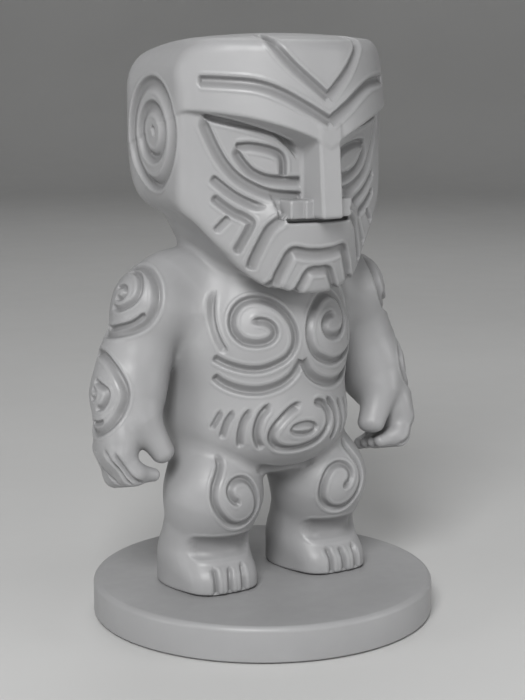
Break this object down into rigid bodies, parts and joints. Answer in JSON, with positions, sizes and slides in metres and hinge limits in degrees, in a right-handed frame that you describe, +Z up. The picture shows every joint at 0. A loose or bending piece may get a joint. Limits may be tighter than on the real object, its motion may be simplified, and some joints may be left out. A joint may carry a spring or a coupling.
{
  "type": "tiki figure",
  "caption": "Squat tiki figure with a large block head, free-hanging arms with curled hands and short bare legs, standing on a plain round plinth.",
  "frame": {"origin": "middle of the underside of the felt pad, on the surface that the figure stands on", "axes": "+Z up through the figure, -Y the way the figure looks, +X the figure's own left"},
  "size_m": [0.1054, 0.1, 0.1672],
  "materials": {
    "resin": "matte grey primer on cast resin",
    "steel": "zinc plated",
    "brass": "plain machined",
    "felt": "pressed wool felt"
  },
  "bodies": {
    "root": {"base_plinth": "resin", "base_felt": "felt", "torso": "resin", "head": "resin", "left_arm": "resin", "right_arm": "resin", "left_leg": "resin", "right_leg": "resin", "neck_pin": "steel", "left_shoulder_pin": "steel", "right_shoulder_pin": "steel", "left_hip_pin": "steel", "right_hip_pin": "steel", "left_leg_insert": "brass", "right_leg_insert": "brass", "left_foot_screw": "steel", "right_foot_screw": "steel", "left_screw_washer": "steel", "right_screw_washer": "steel", "left_foot_dowel": "steel", "right_foot_dowel": "steel"}
  },
  "joints": []
}
